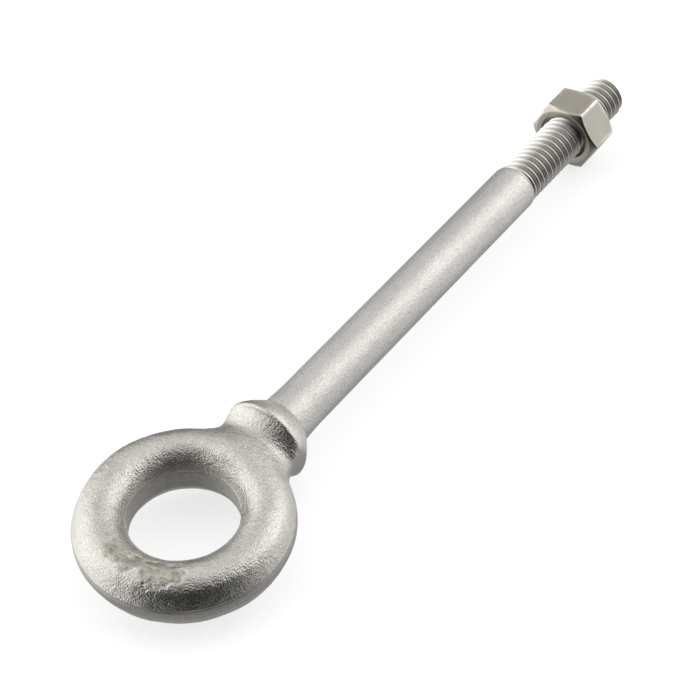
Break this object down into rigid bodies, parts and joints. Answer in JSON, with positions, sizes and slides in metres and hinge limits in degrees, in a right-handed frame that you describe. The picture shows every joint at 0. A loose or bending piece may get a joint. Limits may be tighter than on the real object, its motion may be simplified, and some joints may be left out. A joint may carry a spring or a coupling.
{
  "type": "shoulder eye bolt",
  "caption": "Forged shoulder eye bolt with a round eye, collar, long plain shank and threaded end that carries a hex nut.",
  "frame": {"origin": "centre of the eye", "axes": "+Z along the eye's axis, +X along the shank towards the threaded end"},
  "size_m": [0.1657, 0.041, 0.0174],
  "materials": {
    "forging": "shot-blasted satin",
    "nut": "smooth satin"
  },
  "bodies": {
    "bolt": {"eye_bolt": "forging"},
    "nut": {"hex_nut": "nut"}
  },
  "joints": [
    {"name": "nut_travel", "type": "slide", "parent": "bolt", "child": "nut", "axis": [1, 0, 0], "range_m": [-0.01746, 0.00794]}
  ]
}
